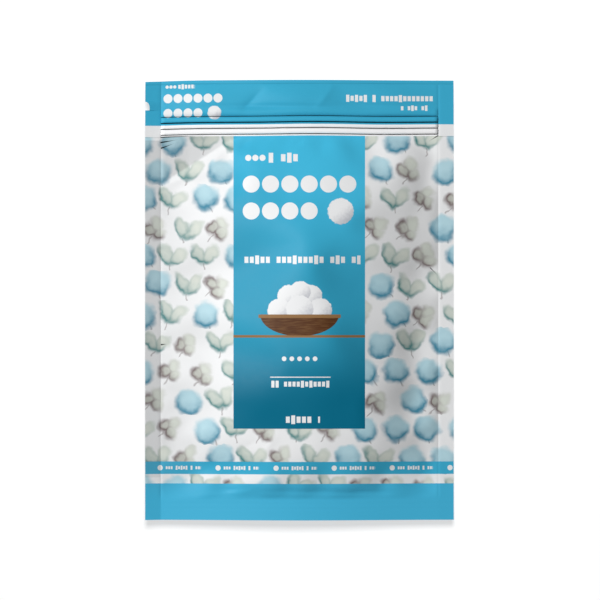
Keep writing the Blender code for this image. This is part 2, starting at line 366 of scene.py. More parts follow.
def slack_shift(form, cloth, height, side):
    """How far a slack film moves from its plain form, on an even grid between the seals.

    The film is cut a little larger than the space it covers and is welded fast all round. The
    contents hold it near its plain form, so the spare length gathers into puckers and flat facets.
    """
    width, reach = 2 * form.fill_side, form.zip_foot - form.fill_foot
    columns = np.linspace(-form.fill_side, form.fill_side, round(width / cloth.pitch) + 1)
    rows = np.linspace(form.fill_foot, form.zip_foot, round(reach / cloth.pitch) + 1)
    x, y = np.meshgrid(columns, rows)
    rest = np.stack([x, y, height(x, y)], -1)
    film = new_grid("slack_film", columns, rows)
    ripple = np.random.RandomState(RIPPLE_SEED).uniform(-1, 1, x.shape)
    ripple[[0, -1]] = ripple[:, [0, -1]] = 0
    start = rest.copy()
    start[..., 2] += RIPPLE * ripple
    set_points(film.data, start)
    held = film.vertex_groups.new(name="held")
    edge = np.zeros(x.shape, bool)
    edge[[0, -1]] = edge[:, [0, -1]] = True
    held.add(np.flatnonzero(edge).tolist(), 1.0, "REPLACE")
    held.add(np.flatnonzero(~edge).tolist(), cloth.hold, "REPLACE")
    modifier = film.modifiers.new("slack", "CLOTH")
    settings = modifier.settings
    settings.quality = 6
    settings.mass = 0.1
    settings.air_damping = 2.0
    settings.tension_stiffness = settings.compression_stiffness = cloth.tension
    settings.shear_stiffness = cloth.tension / 2
    settings.tension_damping = settings.compression_damping = settings.shear_damping = 8.0
    settings.bending_stiffness = cloth.bending
    settings.bending_damping = 1.0
    settings.vertex_group_mass = held.name
    settings.shrink_min = -cloth.slack
    settings.effector_weights.gravity = 0
    settings.use_pressure = True
    settings.uniform_pressure_force = cloth.pressure * side
    modifier.collision_settings.use_collision = False
    modifier.point_cache.frame_end = cloth.frames
    for step in range(1, cloth.frames + 1):
        bpy.context.scene.frame_set(step)
    settled = film.evaluated_get(bpy.context.evaluated_depsgraph_get()).to_mesh()
    points = np.empty(x.size * 3, np.float32)
    settled.vertices.foreach_get("co", points)
    bpy.data.objects.remove(film)
    bpy.context.scene.frame_set(1)
    return columns, rows, smoothed(points.reshape(rest.shape) - rest, cloth.smoothing)


def cubic_along(field, places):
    """The field read along its first axis at places between its points, by a smooth cubic curve."""
    last = len(field) - 1
    start = np.clip(np.floor(places), 0, last - 1).astype(int)
    t = (places - start).reshape(-1, *[1] * (field.ndim - 1))
    before, after, beyond = np.clip(start - 1, 0, last), start + 1, np.clip(start + 2, 0, last)
    p0, p1, p2, p3 = field[before], field[start], field[after], field[beyond]
    slope, curve = p2 - p0, 2 * p0 - 5 * p1 + 4 * p2 - p3
    return p1 + t * (slope + t * (curve + t * (3 * (p1 - p2) + p3 - p0))) / 2


def read_shift(shift, x, y):
    """The simulated shift at the columns x and rows y of the finished film."""
    columns, rows, field = shift
    step_across, step_along = columns[1] - columns[0], rows[1] - rows[0]
    across = np.clip((x - columns[0]) / step_across, 0, len(columns) - 1)
    along = np.clip((y - rows[0]) / step_along, 0, len(rows) - 1)
    read = cubic_along(field, along)
    return np.moveaxis(cubic_along(np.moveaxis(read, 1, 0), across), 0, 1)


# Folds, zip and seals, as heights over the plain form


def fold_heights(x, y, lines, power):
    """Ridges and valleys along lines, highest in the middle: sharp for a power of 1, soft for 2."""
    total = np.zeros_like(x)
    for start, end, height, width in lines:
        x0, y0, x1, y1 = (MM * value for value in (*start, *end))
        run = math.hypot(x1 - x0, y1 - y0)
        along = ((x - x0) * (x1 - x0) + (y - y0) * (y1 - y0)) / run**2
        off = np.abs((x - x0) * (y1 - y0) - (y - y0) * (x1 - x0)) / run
        fade = np.sin(math.pi * np.clip(along, 0, 1))
        total += height * MM * fade * np.exp(-((off / (width * MM)) ** power))
    return total


def flat_corner(form, x, y, height):
    """The front film's height with its top left corner pulled flat, up to a sharp fold."""
    (x0, y0), (x1, y1) = CORNER_FOLD
    run = math.hypot(x1 - x0, y1 - y0)
    beyond = ((x - x0 * MM) * (y1 - y0) - (y - y0 * MM) * (x1 - x0)) / run
    corner = np.maximum(CORNER_LIFT * MM - CORNER_FALL * (x - x0 * MM), CORNER_LOW * MM)
    corner += form.seals(x, y)
    corner += CORNER_RISE * np.maximum(beyond, 0)
    near_seal = share(form.fill_side - np.abs(x), 0, 4 * MM) * share(form.zip_foot - y, 0, 4 * MM)
    return height - np.maximum(height - corner, 0) * near_seal


def zip_heights(form, x, y):
    """The zip's ribs and the sharp creases between them, and the slack film above it."""
    sizes = form.sizes
    place = (y - form.zip_foot) / sizes.zip_rib
    inside = (place > 0) & (place < sizes.zip_ribs)
    across_rib = 2 * np.mod(place, 1.0) - 1
    rib = np.where(inside, np.sqrt(np.clip(1 - across_rib**2, 0, 1)), 0)
    crease = np.abs(place - np.round(place)) * sizes.zip_rib / CREASE_WIDTH
    at_zip = (place > -0.3) & (place < sizes.zip_ribs + 0.3)
    groove = np.where(at_zip, np.exp(-(crease**2)), 0)
    reach = share(form.fill_side - np.abs(x), 0, RIB_END)
    guard = np.sin(math.pi * share(y, form.zip_top, form.zip_top + sizes.guard_rib))
    header = np.sin(math.pi * share(y, form.zip_top, form.top_crease))
    spread = bell(x / form.fill_side, (HEADER_ROUNDNESS, 1.0))
    wave = 1 + HEADER_UNEVENNESS * np.sin(2 * math.pi * (x + HEADER_SLANT * y) / HEADER_WAVE)
    puff = sizes.header_puff * header * spread * wave
    raised = sizes.zip_height * rib - CREASE_DEPTH * groove + sizes.guard_rise * guard
    return raised * reach + puff


def seal_creases(form, x, y):
    """Narrow valleys where the films part, along the side seals and the top seal."""
    sizes = form.sizes
    side = np.exp(-np.abs(np.abs(x) - form.fill_side) / (0.5 * MM))
    side = side * ((y > form.fill_foot) & (y < form.top_crease))
    top = np.exp(-np.abs(y - form.top_crease) / (0.35 * MM))
    return -sizes.seal_crease * np.maximum(side, top)


def zip_sag(form, x, y):
    """The zip isn't quite straight: it sags towards its left end, as the top left corner does."""
    near = np.exp(-(((y - (form.zip_top + form.zip_foot) / 2) / SAG_REACH) ** 2))
    left = share(-x, SAG_START, form.fill_side)
    height, length, start = SAG_WAVE
    wave = height * np.sin(2 * math.pi * x / length + start)
    corner = share(-x, 0.6 * form.half_width, form.half_width) ** 2
    corner = corner * share(y, form.zip_top, form.half_height)
    return near * (wave - SAG_DROP * left**1.5) - form.sizes.corner_sag * corner


def notch_edge(form, y):
    """The left edge with its tear notch: flat at the notch's foot and round at its top."""
    place = (y - form.notch_foot) / form.sizes.notch_height
    round_top = np.sqrt(1 - share(place, NOTCH_ROUND, 1) ** 2)
    depth = np.where((place > 0) & (place < 1), form.sizes.notch_depth * round_top, 0)
    return depth - form.half_width


def stations(marks, pitch):
    """The marks in order, with the gaps between them filled evenly in steps up to the pitch."""
    marks = sorted(marks)
    filled = marks[:1]
    for start, end in zip(marks, marks[1:]):
        steps = max(1, math.ceil((end - start) / pitch))
        filled += [start + (end - start) * step / steps for step in range(1, steps + 1)]
    return np.array(filled)


def film_columns(form):
    """Columns of the finished film, close together at the seals' creases."""
    near = (-1.2 * MM, -0.4 * MM, 0.0, 0.4 * MM, 1.2 * MM)
    right = [form.fill_side + step for step in near] + [form.half_width]
    return stations([-mark for mark in right] + [0.0] + right, form.sizes.pitch)


def film_rows(form):
    """Rows of the finished film, close together at the zip, the creases and the notch."""
    sizes = form.sizes
    marks = [-form.half_height, form.fill_foot, form.zip_foot, form.half_height]
    marks += [form.top_crease + step * MM for step in (-0.8, -0.3, 0.0, 0.3, 0.8)]
    for rib in range(sizes.zip_ribs):
        marks += [form.zip_foot + (rib + part) * sizes.zip_rib for part in RIB_STATIONS]
    for step in (0.2 * MM, 0.6 * MM):
        marks += [form.zip_foot - step, form.zip_top + step]
    marks += [form.notch_foot - 0.02 * MM, form.notch_foot + 0.02 * MM]
    turned = [NOTCH_ROUND + (1 - NOTCH_ROUND) * math.sin(turn) for turn in NOTCH_TURNS]
    marks += [form.notch_foot + part * sizes.notch_height for part in (*turned, 1.0)]
    return stations(marks, sizes.pitch)


def film_points(form, cloth, columns, rows):
    """Points of the front and the back film, and the front's places on the flat film."""
    front_shift = slack_shift(form, cloth, form.front, 1)
    back_shift = slack_shift(form, cloth, form.back, -1)
    x, y = np.meshgrid(columns, rows)
    edge = notch_edge(form, y)
    inner = -form.fill_side - 1.3 * MM
    squeeze = (edge - inner) / (-form.half_width - inner)
    cut_x = np.where(x < inner, inner + (x - inner) * squeeze, x)
    front = np.stack([cut_x, y, form.front(x, y)], -1)
    back = np.stack([cut_x, y, form.back(x, y)], -1)
    inside = (np.abs(x) < form.fill_side) & (y > form.fill_foot) & (y < form.zip_foot)
    front += np.where(inside[..., None], read_shift(front_shift, columns, rows), 0)
    back += np.where(inside[..., None], read_shift(back_shift, columns, rows), 0)
    front_print = front[..., :2].copy()
    front[..., 1] += zip_sag(form, x, y)
    back[..., 1] += zip_sag(form, x, y)
    extra = zip_heights(form, x, y) + seal_creases(form, x, y)
    front[..., 2] = flat_corner(form, x, y, front[..., 2])
    front[..., 2] += extra + fold_heights(x, y, FOLDS, 1)
    spread = bell(x / form.fill_side, (4, 1)) * bell(form.fill_place(x, y)[1], (6, 1))
    front[..., 2] += spread * fold_heights(x, y, SWELLS, 2)
    back[..., 2] -= 0.5 * extra
    back[..., 2] = np.clip(back[..., 2], 0, front[..., 2] - FILM_GAP)
    drawn_in = (front[..., 2] - form.seals(x, y)) / form.sizes.view_height
    front[..., :2] *= 1 - drawn_in[..., None]
    return front, back, front_print


def make_film(sizes, cloth):
    """The whole pouch as one closed mesh: front film, back film and cut edge."""
    form = PouchForm(sizes)
    columns, rows = film_columns(form), film_rows(form)
    front, back, front_print = film_points(form, cloth, columns, rows)
    film = new_grid("pouch_film", columns, rows)
    bpy.ops.object.mode_set(mode="EDIT")
    bpy.ops.mesh.select_all(action="SELECT")
    bpy.ops.mesh.extrude_region_move(TRANSFORM_OT_translate={"value": (0, 0, 1)})
    bpy.ops.mesh.select_all(action="SELECT")
    bpy.ops.mesh.normals_make_consistent(inside=False)
    bpy.ops.object.mode_set(mode="OBJECT")
    mesh = film.data
    flat = np.empty(len(mesh.vertices) * 3, np.float32)
    mesh.vertices.foreach_get("co", flat)
    flat = flat.reshape(-1, 3)
    column = np.rint((flat[:, 0] + 0.5) * (len(columns) - 1)).astype(int)
    row = np.rint((flat[:, 1] + 0.5) * (len(rows) - 1)).astype(int)
    is_front = flat[:, 2] > 0.5
    set_points(mesh, np.where(is_front[:, None], front[row, column], back[row, column]))
    places = np.where(is_front[:, None], front_print[row, column], back[row, column, :2])
    lay_print(mesh, (places + (form.half_width, form.half_height)) / sizes.height, is_front)
    bpy.ops.object.shade_smooth_by_angle(angle=SHARP_ANGLE)
    return film


def lay_print(mesh, places, is_front):
    """Lay the print's map on the mesh, and give the faces of each film their material's slot."""
    corners = np.empty(len(mesh.loops), np.int32)
    mesh.loops.foreach_get("vertex_index", corners)
    print_map = mesh.uv_layers[0]
    print_map.name = "print"
    print_map.data.foreach_set("uv", places[corners].astype(np.float32).ravel())
    starts = np.empty(len(mesh.polygons), np.int32)
    mesh.polygons.foreach_get("loop_start", starts)
    at_back = ~np.maximum.reduceat(is_front[corners], starts)
    mesh.polygons.foreach_set("material_index", at_back.astype(np.int32))
    mesh.update()


# Node trees


class NodePen:
    """Adds nodes to one node tree. A value is a number, a colour or another node's output."""

    def __init__(self, tree):
        self.tree = tree

    def put(self, socket, value):
        """Link an output to the socket, or set its value."""
        if isinstance(value, bpy.types.NodeSocket):
            self.tree.links.new(value, socket)
        else:
            socket.default_value = value

    def add(self, kind, inputs=None, **settings):
        """A new node with its settings and inputs."""
        node = self.tree.nodes.new(kind)
        for name, value in settings.items():
            setattr(node, name, value)
        for name, value in (inputs or {}).items():
            self.put(node.inputs[name], value)
        return node

    def math(self, operation, *values):
        """One Math node."""
        node = self.add("ShaderNodeMath", dict(enumerate(values)), operation=operation)
        return node.outputs[0]

    def product(self, *values):
        """The values multiplied, from the first to the last."""
        total = values[0]
        for value in values[1:]:
            total = self.math("MULTIPLY", total, value)
        return total

    def minus(self, value, other):
        """The value less the other one."""
        return self.math("SUBTRACT", value, other)

    def vector(self, operation, *values):
        """One Vector Math node."""
        node = self.add("ShaderNodeVectorMath", dict(enumerate(values)), operation=operation)
        lengths = ("LENGTH", "DISTANCE", "DOT_PRODUCT")
        return node.outputs["Value" if operation in lengths else "Vector"]

    def split(self, place):
        """The X and Y of a vector."""
        node = self.add("ShaderNodeSeparateXYZ", {0: place})
        return node.outputs[0], node.outputs[1]

    def join(self, x, y, z=0.0):
        """A vector of its parts."""
        return self.add("ShaderNodeCombineXYZ", {0: x, 1: y, 2: z}).outputs[0]

    def step(self, value, start, end):
        """A smooth step from 0 at start to 1 at end, where start may be the larger."""
        inputs = {"Value": value, "From Min": start, "From Max": end}
        return self.add("ShaderNodeMapRange", inputs, interpolation_type="SMOOTHSTEP").outputs[0]

    def turned(self, place, angle):
        """The place turned about the Z axis."""
        inputs = {"Vector": place, "Angle": angle}
        return self.add("ShaderNodeVectorRotate", inputs, rotation_type="Z_AXIS").outputs[0]

    def mix(self, amount, first, second):
        """The first colour where amount is 0, and the second where it is 1."""
        node = self.add("ShaderNodeMix", {0: amount, 6: first, 7: second}, data_type="RGBA")
        return node.outputs[2]

    def noise(self, place, scale, detail=2.0):
        """Smooth noise: its value and its colour."""
        inputs = {"Vector": place, "Scale": scale, "Detail": detail}
        node = self.add("ShaderNodeTexNoise", inputs)
        return node.outputs[0], node.outputs[1]

    def group(self, name, inputs):
        """Place a node group with its own values."""
        node = self.add("ShaderNodeGroup", node_tree=bpy.data.node_groups[name])
        for socket, value in inputs.items():
            self.put(node.inputs[socket], value)
        return node.outputs


def new_group(name, inputs, outputs):
    """An empty node group with its sockets: a pen for it, its given values and its results."""
    tree = bpy.data.node_groups.new(name, "ShaderNodeTree")
    for socket, kind in inputs:
        tree.interface.new_socket(socket, in_out="INPUT", socket_type=kind)
    for socket, kind in outputs:
        tree.interface.new_socket(socket, in_out="OUTPUT", socket_type=kind)
    pen = NodePen(tree)
    source = pen.add("NodeGroupInput")
    return pen, source.outputs, pen.add("NodeGroupOutput").inputs


COLOUR, NUMBER, PLACE = "NodeSocketColor", "NodeSocketFloat", "NodeSocketVector"
EDGE = 0.18  # softness of a printed edge, in millimetres
# Near black of the painted shade in creases
CREASE_BLACK = (0.004, 0.006, 0.008, 1.0)


def band(pen, value, low, high, soft=EDGE):
    """1 between low and high."""
    rise = pen.step(value, low - soft, low + soft)
    return pen.product(rise, pen.step(value, high + soft, high - soft))


def box(pen, place, left, right, foot, top):
    """1 in an upright rectangle."""
    x, y = pen.split(place)
    return pen.product(band(pen, x, left, right), band(pen, y, foot, top))


def disc(pen, place, centre, radius, soft=EDGE):
    """1 in a disc."""
    off = pen.vector("DISTANCE", place, (*centre, 0.0))
    return pen.step(off, radius + soft, radius - soft)


def either(pen, masks):
    """The largest of several masks."""
    total = masks[0]
    for mask in masks[1:]:
        total = pen.math("MAXIMUM", total, mask)
    return total


def stroke(pen, place, start, end, width):
    """A tapered stroke of painted shade, in the gap of a sharp crease."""
    run = math.hypot(end[0] - start[0], end[1] - start[1])
    unit = ((end[0] - start[0]) / run, (end[1] - start[1]) / run)
    off = pen.vector("SUBTRACT", place, (*start, 0.0))
    along = pen.math("DIVIDE", pen.vector("DOT_PRODUCT", off, (*unit, 0.0)), run)
    aside = pen.math("ABSOLUTE", pen.vector("DOT_PRODUCT", off, (-unit[1], unit[0], 0.0)))
    half = pen.product(pen.step(along, 1.0, 0.0), width)
    near = pen.step(pen.minus(aside, half), 0.14, -0.14)
    return pen.product(band(pen, along, 0.0, 1.0, 0.02), near)


def puff_row(pen, place, left, middle, count, pitch, radius):
    """A row of round puffs."""
    x, y = pen.split(place)
    along = pen.minus(x, left)
    nearest = pen.math("ROUND", pen.math("DIVIDE", along, pitch))
    nearest = pen.math("MINIMUM", pen.math("MAXIMUM", nearest, 0.0), count - 1.0)
    off = pen.minus(along, pen.product(nearest, pitch))
    here = pen.join(off, pen.minus(y, middle))
    return pen.step(pen.vector("LENGTH", here), radius + EDGE, radius - EDGE)


def dash_row(pen, place, left, middle, length, height, seed):
    """A row of small upright dashes with gaps, where a line of words would stand."""
    x, y = pen.split(place)
    along = pen.minus(x, left)
    cell = pen.math("DIVIDE", along, 0.62 * height)
    number = pen.math("ADD", pen.math("FLOOR", cell), seed)
    chance = pen.add("ShaderNodeTexWhiteNoise", {"W": number}, noise_dimensions="1D").outputs[0]
    shown = pen.math("GREATER_THAN", chance, 0.17)
    tall = pen.math("MULTIPLY_ADD", pen.math("GREATER_THAN", chance, 0.72), 0.14, 0.36)
    off = pen.math("DIVIDE", pen.math("ABSOLUTE", pen.minus(y, middle)), height)
    upright = pen.step(pen.minus(off, tall), 0.04, -0.04)
    in_cell = pen.math("ABSOLUTE", pen.minus(pen.math("FRACT", cell), 0.5))
    thick = pen.step(in_cell, 0.40, 0.33)
    return pen.product(shown, upright, thick, band(pen, along, 0.0, length))


def word_rows(pen, place, puffs, dashes):
    """Rows of puffs and rows of dashes, where words would stand."""
    marks = [puff_row(pen, place, *row) for row in puffs]
    return marks + [dash_row(pen, place, *row) for row in dashes]


# The body's pattern, in millimetres: a motif's step across and along, how far it may lie off its
# place and be turned, and its radius
MOTIF_STEP = (20.6, 18.6)
MOTIF_JITTER = (4.0, 3.2, 0.0)
MOTIF_TURN = 1.8
BALL_RADIUS = 8.3
LEAF_RADIUS = 7.4
BUD_RADIUS = 4.3
LEAF_TURN = 0.62

# Of the motifs, those up to the first share are balls and those from the second one on are buds
BALLS_TO = 0.42
BUDS_FROM = 0.74

SCATTER_COLOURS = ("White", "Aqua", "Light Aqua", "Sage", "Cream", "Taupe")


def make_scatter_group():
    """The body's pattern: blurred puffs, leaf pairs and buds in staggered rows."""
    inputs = [("Place", PLACE), *((name, COLOUR) for name in SCATTER_COLOURS)]
    pen, given, result = new_group("Scatter Print", inputs, [("Color", COLOUR)])
    across, along = MOTIF_STEP
    wobble = pen.vector("SUBTRACT", pen.noise(given["Place"], 0.11)[1], (0.5, 0.5, 0.5))
    place = pen.vector("MULTIPLY_ADD", wobble, (7.0, 7.0, 0.0), given["Place"])
    x, y = pen.split(place)
    row = pen.math("FLOOR", pen.math("DIVIDE", y, along))
    odd = pen.product(pen.math("FLOORED_MODULO", row, 2.0), 0.5)
    shifted = pen.math("ADD", pen.math("DIVIDE", x, across), odd)
    column = pen.math("FLOOR", shifted)
    cell = pen.join(column, row)
    chance = pen.add("ShaderNodeTexWhiteNoise", {"Vector": cell}, noise_dimensions="2D")
    pick = chance.outputs["Value"]
    jitter = pen.vector("SUBTRACT", chance.outputs["Color"], (0.5, 0.5, 0.5))
    local_x = pen.product(pen.minus(pen.math("FRACT", shifted), 0.5), across)
    in_row = pen.math("FRACT", pen.math("DIVIDE", y, along))
    local_y = pen.product(pen.minus(in_row, 0.5), along)
    local = pen.vector("MULTIPLY_ADD", jitter, MOTIF_JITTER, pen.join(local_x, local_y))
    local = pen.turned(local, pen.product(pen.minus(pick, 0.5), MOTIF_TURN))
    lx, ly = pen.split(local)
    folded = pen.math("ABSOLUTE", lx)
    stain = pen.noise(given["Place"], 0.16, 3.0)[0]

    def tinted(distance, radius, shade, light):
        """A blurred spot: pale inside, darker towards its lower rim."""
        rim = pen.step(distance, 0.35 * radius, 1.05 * radius)
        low = pen.step(pen.math("MULTIPLY_ADD", lx, 0.5, ly), 0.9 * radius, -0.9 * radius)
        amount = pen.product(rim, pen.math("MULTIPLY_ADD", low, 0.8, 0.15))
        amount = pen.math("MULTIPLY_ADD", low, 0.3, amount)
        amount = pen.product(amount, pen.math("MULTIPLY_ADD", stain, 1.3, 0.4))
        mask = pen.step(distance, radius + 2.0, radius - 2.0)
        return mask, pen.mix(amount, given[light], given[shade])

    ball = tinted(pen.vector("LENGTH", local), BALL_RADIUS, "Aqua", "Light Aqua")
    leaf_place = pen.join(pen.minus(folded, 3.9), pen.minus(ly, 1.0))
    leaf_place = pen.vector("MULTIPLY", pen.turned(leaf_place, LEAF_TURN), (1.75, 1.0, 0.0))
    leaf = tinted(pen.vector("LENGTH", leaf_place), LEAF_RADIUS, "Sage", "Cream")
    low_bud = pen.vector("DISTANCE", pen.join(folded, ly), (3.1, -1.6, 0.0))
    high_bud = pen.vector("DISTANCE", local, (0.0, 3.4, 0.0))
    bud = tinted(pen.math("MINIMUM", low_bud, high_bud), BUD_RADIUS, "Taupe", "Cream")
    stem = pen.product(pen.step(folded, 0.75, 0.1), band(pen, ly, -10.5, -5.0, 0.8))

    colour = pen.mix(pen.product(stem, 0.45), given["White"], given["Taupe"])
    is_ball = pen.math("LESS_THAN", pick, BALLS_TO)
    is_bud = pen.math("GREATER_THAN", pick, BUDS_FROM)
    is_leaf = pen.minus(pen.minus(1.0, is_ball), is_bud)
    for (mask, motif), chosen in ((ball, is_ball), (leaf, is_leaf), (bud, is_bud)):
        colour = pen.mix(pen.product(mask, chosen), colour, motif)
    pen.put(result["Color"], colour)


def shaded_puff(pen, place, colour, centre, radius, white, shade):
    """A white puff over the colour, with a soft uneven edge and its shade at the lower right."""
    off = pen.vector("SUBTRACT", place, (*centre, 0.0))
    fluff = pen.noise(place, 0.55, 3.0)[0]
    reach = pen.vector("LENGTH", off)
    reach = pen.math("MULTIPLY_ADD", pen.minus(fluff, 0.5), 0.24 * radius, reach)
    side = pen.vector("DOT_PRODUCT", off, (0.62 / radius, -0.78 / radius, 0.0))
    dark = pen.step(pen.math("MULTIPLY_ADD", fluff, 0.7, side), 0.15, 1.35)
    tone = pen.mix(dark, white, shade)
    return pen.mix(pen.step(reach, radius + 0.35, radius - 0.35), colour, tone)


# Rows of puffs on the label: left end, height, number, step and radius, in millimetres
LABEL_PUFFS = (
    (-33.2, 92.0, 3, 4.6, 2.0),
    (-31.3, 75.0, 6, 12.5, 5.5),
    (-31.3, 57.6, 4, 12.5, 5.5),
    (-10.0, -38.0, 5, 5.0, 1.5),
)

# Rows of dashes on the label: left end, height, length, height of a dash and seed
LABEL_DASHES = (
    (-20.5, 92.0, 20.0, 6.4, 3.0),
    (-39.6, 26.0, 79.0, 5.6, 40.0),
    (-18.6, -54.4, 38.5, 4.4, 77.0),
    (-12.8, -77.4, 26.0, 5.6, 91.0),
)

# The fall of the label's colour: how far it slants, which lightens its right side as painted light,
# and where its upper and lower halves run
FALL_SLANT = 0.8
UPPER_FALL = (115.0, -5.0)
LOWER_FALL = (-12.0, -68.0)

# The puff at the end of a row, and the heap in the bowl from back to front: middle and radius
LABEL_BALL = ((26.6, 57.4), 8.4)
HEAP = (
    ((-7.0, 2.4), 7.3),
    ((7.2, 2.5), 7.4),
    ((0.4, 5.4), 6.8),
    ((-13.2, -6.6), 7.5),
    ((13.4, -6.5), 7.7),
    ((0.2, -5.8), 8.7),
)

# Heights of the bowl's brim and foot, and of the line that it stands on
BOWL_BRIM = -9.4
BOWL_FOOT = -22.9
TABLE_LINE = (-24.3, -22.7)

LABEL_COLOURS = ("White", "Label Top", "Label Foot", "Brown", "Tan", "Puff Shade")


def make_label_group():
    """The label: a field that darkens downwards, with rows of marks and a filled bowl."""
    inputs = [("Place", PLACE), *((name, COLOUR) for name in LABEL_COLOURS)]
    pen, given, result = new_group("Label Print", inputs, [("Color", COLOUR)])
    place, white, shade = given["Place"], given["White"], given["Puff Shade"]
    x, y = pen.split(place)
    # The slant is painted light: it lightens the label's right side against the shade there
    slope = pen.math("MULTIPLY_ADD", x, FALL_SLANT, y)
    upper_fall = pen.product(pen.step(slope, *UPPER_FALL), 0.5)
    fall = pen.math("MULTIPLY_ADD", pen.step(y, *LOWER_FALL), 0.5, upper_fall)
    colour = pen.mix(fall, given["Label Top"], given["Label Foot"])

    marks = word_rows(pen, place, LABEL_PUFFS, LABEL_DASHES)
    marks.append(box(pen, place, -19.0, 20.0, -50.2, -49.6))
    colour = pen.mix(either(pen, marks), colour, white)
    table = box(pen, place, -60.0, 60.0, *TABLE_LINE)
    colour = pen.mix(table, colour, given["Tan"])
    for centre, radius in (LABEL_BALL, *HEAP):
        colour = shaded_puff(pen, place, colour, centre, radius, white, shade)
    off = pen.vector("SUBTRACT", place, (0.0, BOWL_BRIM, 0.0))
    reach = pen.vector("LENGTH", pen.vector("MULTIPLY", off, (0.55, 1.0, 0.0)))
    below_brim, above_foot = band(pen, y, -40.0, BOWL_BRIM), band(pen, y, BOWL_FOOT, 20.0)
    bowl = pen.product(pen.step(reach, 14.2, 13.8), below_brim, above_foot)
    grain = pen.noise(pen.vector("MULTIPLY", place, (0.12, 1.1, 0.0)), 1.0, 3.0)[0]
    wood = pen.mix(pen.step(grain, 0.35, 0.75), given["Brown"], given["Tan"])
    colour = pen.mix(bowl, colour, pen.mix(0.35, given["Brown"], wood))
    rim = box(pen, place, -26.6, 26.6, -11.6, BOWL_BRIM)
    colour = pen.mix(rim, colour, given["Tan"])
    pen.put(result["Color"], colour)


def empty_corner(pen, place):
    """1 in the top left corner, beyond the corner fold, where painted shade greys the film."""
    (x0, y0), (x1, y1) = CORNER_FOLD
    run = math.hypot(x1 - x0, y1 - y0)
    x, y = pen.split(place)
    off = pen.vector("SUBTRACT", place, (x0, y0, 0.0))
    beyond = pen.vector("DOT_PRODUCT", off, ((y0 - y1) / run, (x1 - x0) / run, 0.0))
    fade = pen.step(x, -36.0, -66.0)
    inside = pen.product(pen.step(beyond, -0.4, 1.4), fade)
    area = pen.product(band(pen, x, -SEAL_EDGE, -30.0), band(pen, y, 60.0, ZIP_BAND[0]))
    return pen.product(inside, area)


# Painted shade along the zip's sharp creases: height on the flat film and half width, in
# millimetres
CREASE_LINES = ((119.1, 0.1), (115.2, 0.26), (111.3, 0.18), (107.4, 0.18))

# Painted shade in the gaps of the small folds beside the zip's ends: start, end and half width
CREASE_STROKES = (
    ((-90.2, 102.6), (-79.0, 104.3), 0.5),
    ((-90.0, 98.7), (-81.5, 101.8), 0.45),
    ((-90.2, 106.2), (-62.0, 106.6), 0.4),
    ((90.0, 106.6), (84.0, 103.0), 0.35),
    ((-90.0, -29.0), (-86.0, -28.6), 0.45),
    ((84.6, 21.0), (89.6, 16.0), 0.25),
)

# Rows of puffs and of dashes in the header, as on the label, and the puff at the end of a row
HEADER_PUFFS = (
    (-86.0, 138.6, 3, 2.5, 1.05),
    (-85.4, 131.0, 6, 6.5, 2.9),
    (-85.4, 121.6, 4, 6.5, 2.9),
)
HEADER_DASHES = (
    (-79.0, 138.6, 11.0, 3.4, 5.0),
    (26.9, 130.6, 61.0, 4.6, 12.0),
    (65.4, 124.4, 22.4, 3.6, 55.0),
)

HEADER_BALL = ((-55.2, 121.6), 4.4)

# Where the print's fields lie on the flat film, in millimetres
SEAL_EDGE = 90.0
ZIP_BAND = (106.3, 113.8)
STRIP = (-112.8, -104.7)
STRIP_REPEAT = 37.6
FOOT_EDGE = -118.9
LABEL_BOX = (-42.8, 42.4, -83.3, 107.0)

# Painted shade: how much grey is mixed into the left seal, the top left corner and the left flank
LEFT_SEAL_GREY = 0.22
CORNER_GREY = 0.26
FLANK_GREY = 0.17

# How dark the painted shade is in a sharp crease and in a faint one
SHARP_CREASE = 0.94
FAINT_CREASE = 0.25

FIELD_COLOURS = ("Zip White", "Teal", "Foot Teal", "Seal Grey")
PRINT_COLOURS = (*SCATTER_COLOURS, *LABEL_COLOURS[1:], *FIELD_COLOURS)


